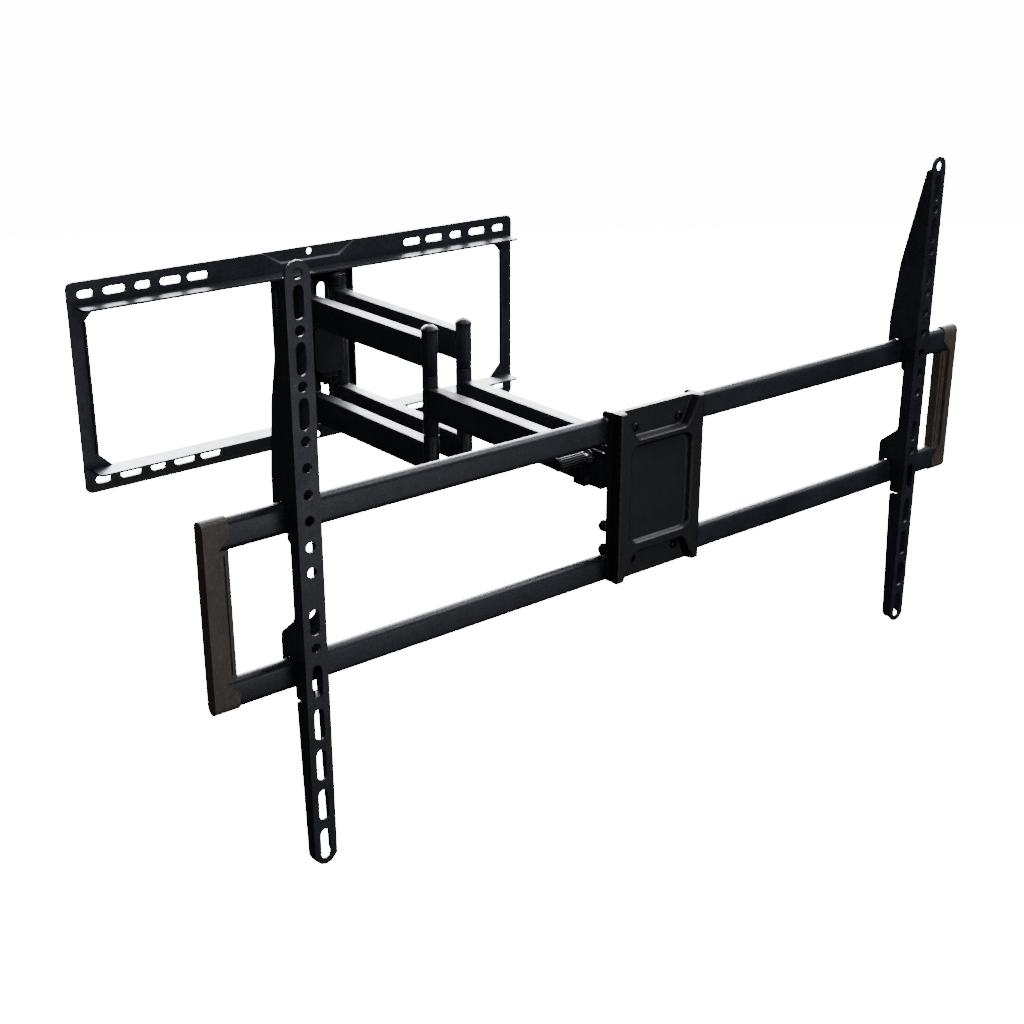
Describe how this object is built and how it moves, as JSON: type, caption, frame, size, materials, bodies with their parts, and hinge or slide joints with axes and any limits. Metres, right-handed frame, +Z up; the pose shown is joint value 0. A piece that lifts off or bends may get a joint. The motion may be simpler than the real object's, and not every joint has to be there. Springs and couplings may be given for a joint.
{
  "type": "full motion tv wall mount",
  "caption": "Full-motion wall mount: slotted wall plate, twin two-link arms, swivel, tilt and level head, and horizontal tubes that carry sliding upright screen brackets.",
  "frame": {"origin": "middle of the wall plate's back face, where it meets the wall", "axes": "+Z up, +Y into the wall, +X to the right for a viewer in the room; the arms reach along -Y"},
  "size_m": [1.1116, 0.7198, 0.62],
  "materials": {
    "steel": "fine-textured black powder coat",
    "plastic": "moulded dark grey plastic, light grain",
    "zinc": "zinc-plated steel fasteners"
  },
  "bodies": {
    "wall": {"wall_top_rail": "steel", "wall_bottom_rail": "steel", "wall_end_bar_left": "steel", "wall_end_bar_right": "steel", "wall_centre_column": "steel", "wall_pivot_bracket": "steel", "wall_hub_cover": "plastic", "hub_screw_left": "zinc", "hub_screw_right": "zinc", "left_wall_pin": "steel", "right_wall_pin": "steel"},
    "left_rear_link": {"left_rear_tube_upper": "steel", "left_rear_tube_lower": "steel", "left_wall_post": "steel", "left_elbow_knuckle_upper": "steel", "left_elbow_knuckle_lower": "steel", "left_elbow_pin": "steel", "left_elbow_cap_top": "plastic", "left_elbow_cap_bottom": "plastic"},
    "right_rear_link": {"right_rear_tube_upper": "steel", "right_rear_tube_lower": "steel", "right_wall_post": "steel", "right_elbow_knuckle_upper": "steel", "right_elbow_knuckle_lower": "steel", "right_elbow_pin": "steel", "right_elbow_cap_top": "plastic", "right_elbow_cap_bottom": "plastic"},
    "left_front_link": {"left_front_tube": "steel", "left_elbow_knuckle_middle": "steel", "left_front_knuckle": "steel"},
    "right_front_link": {"right_front_tube": "steel", "right_elbow_knuckle_middle": "steel", "right_front_knuckle": "steel"},
    "yoke": {"head_yoke": "steel", "left_front_pin": "zinc", "right_front_pin": "zinc"},
    "swivel_head": {"swivel_bracket": "steel", "swivel_pin": "zinc", "tilt_bolt_left": "zinc", "tilt_bolt_right": "zinc"},
    "knob": {"tilt_knob": "plastic"},
    "tilt_body": {"tilt_bracket": "steel", "level_bolt": "zinc"},
    "screen_frame": {"head_plate": "steel", "head_cover": "plastic", "head_screw_top_left": "steel", "head_screw_top_right": "steel", "head_screw_bottom_left": "steel", "head_screw_bottom_right": "steel", "head_side_bolt_upper": "steel", "head_side_bolt_lower": "steel", "frame_tube_upper": "steel", "frame_tube_lower": "steel", "end_cap_left": "plastic", "end_cap_right": "plastic"},
    "left_bracket": {"screen_bracket_left": "steel"},
    "right_bracket": {"screen_bracket_right": "steel"},
    "left_lock": {"bracket_lock_screw_left": "zinc"},
    "right_lock": {"bracket_lock_screw_right": "zinc"}
  },
  "joints": [
    {"name": "left_shoulder", "type": "hinge", "parent": "wall", "child": "left_rear_link", "pos_m": [-0.027, -0.028, 0], "axis": [0, 0, -1], "range_deg": [0, 70]},
    {"name": "left_elbow", "type": "hinge", "parent": "left_rear_link", "child": "left_front_link", "pos_m": [-0.027, -0.323, 0], "axis": [0, 0, 1], "range_deg": [0, 141]},
    {"name": "left_front_pivot", "type": "hinge", "parent": "left_front_link", "child": "yoke", "pos_m": [-0.027, -0.618, 0], "axis": [0, 0, -1], "range_deg": [0, 71]},
    {"name": "right_shoulder", "type": "hinge", "parent": "wall", "child": "right_rear_link", "pos_m": [0.027, -0.028, 0], "axis": [0, 0, 1], "range_deg": [0, 71]},
    {"name": "right_elbow", "type": "hinge", "parent": "right_rear_link", "child": "right_front_link", "pos_m": [0.027, -0.323, 0], "axis": [0, 0, -1], "range_deg": [0, 141]},
    {"name": "head_swivel", "type": "hinge", "parent": "yoke", "child": "swivel_head", "pos_m": [0, -0.646, 0], "axis": [0, 0, 1], "range_deg": [-20, 20]},
    {"name": "head_tilt", "type": "hinge", "parent": "swivel_head", "child": "tilt_body", "pos_m": [0, -0.656, 0.021], "axis": [1, 0, 0], "range_deg": [-5, 15]},
    {"name": "head_level", "type": "hinge", "parent": "tilt_body", "child": "screen_frame", "pos_m": [0, -0.7053, -0.014], "axis": [0, 1, 0], "range_deg": [-3, 3]},
    {"name": "tension_knob", "type": "hinge", "parent": "swivel_head", "child": "knob", "pos_m": [-0.08, -0.656, 0.021], "axis": [1, 0, 0], "continuous": true},
    {"name": "left_bracket_slide", "type": "slide", "parent": "screen_frame", "child": "left_bracket", "axis": [1, 0, 0], "range_m": [-0.06, 0.25]},
    {"name": "right_bracket_slide", "type": "slide", "parent": "screen_frame", "child": "right_bracket", "axis": [1, 0, 0], "range_m": [-0.25, 0.06]},
    {"name": "left_lock_screw", "type": "hinge", "parent": "left_bracket", "child": "left_lock", "pos_m": [-0.455, -0.70655, -0.13], "axis": [0, 0, 1], "continuous": true},
    {"name": "right_lock_screw", "type": "hinge", "parent": "right_bracket", "child": "right_lock", "pos_m": [0.455, -0.70655, -0.13], "axis": [0, 0, 1], "continuous": true}
  ],
  "couplings": [
    {"joint": "left_elbow", "follows": "left_shoulder", "ratio": 2},
    {"joint": "left_front_pivot", "follows": "left_shoulder", "ratio": 1},
    {"joint": "right_shoulder", "follows": "left_shoulder", "ratio": 1},
    {"joint": "right_elbow", "follows": "left_shoulder", "ratio": 2}
  ]
}
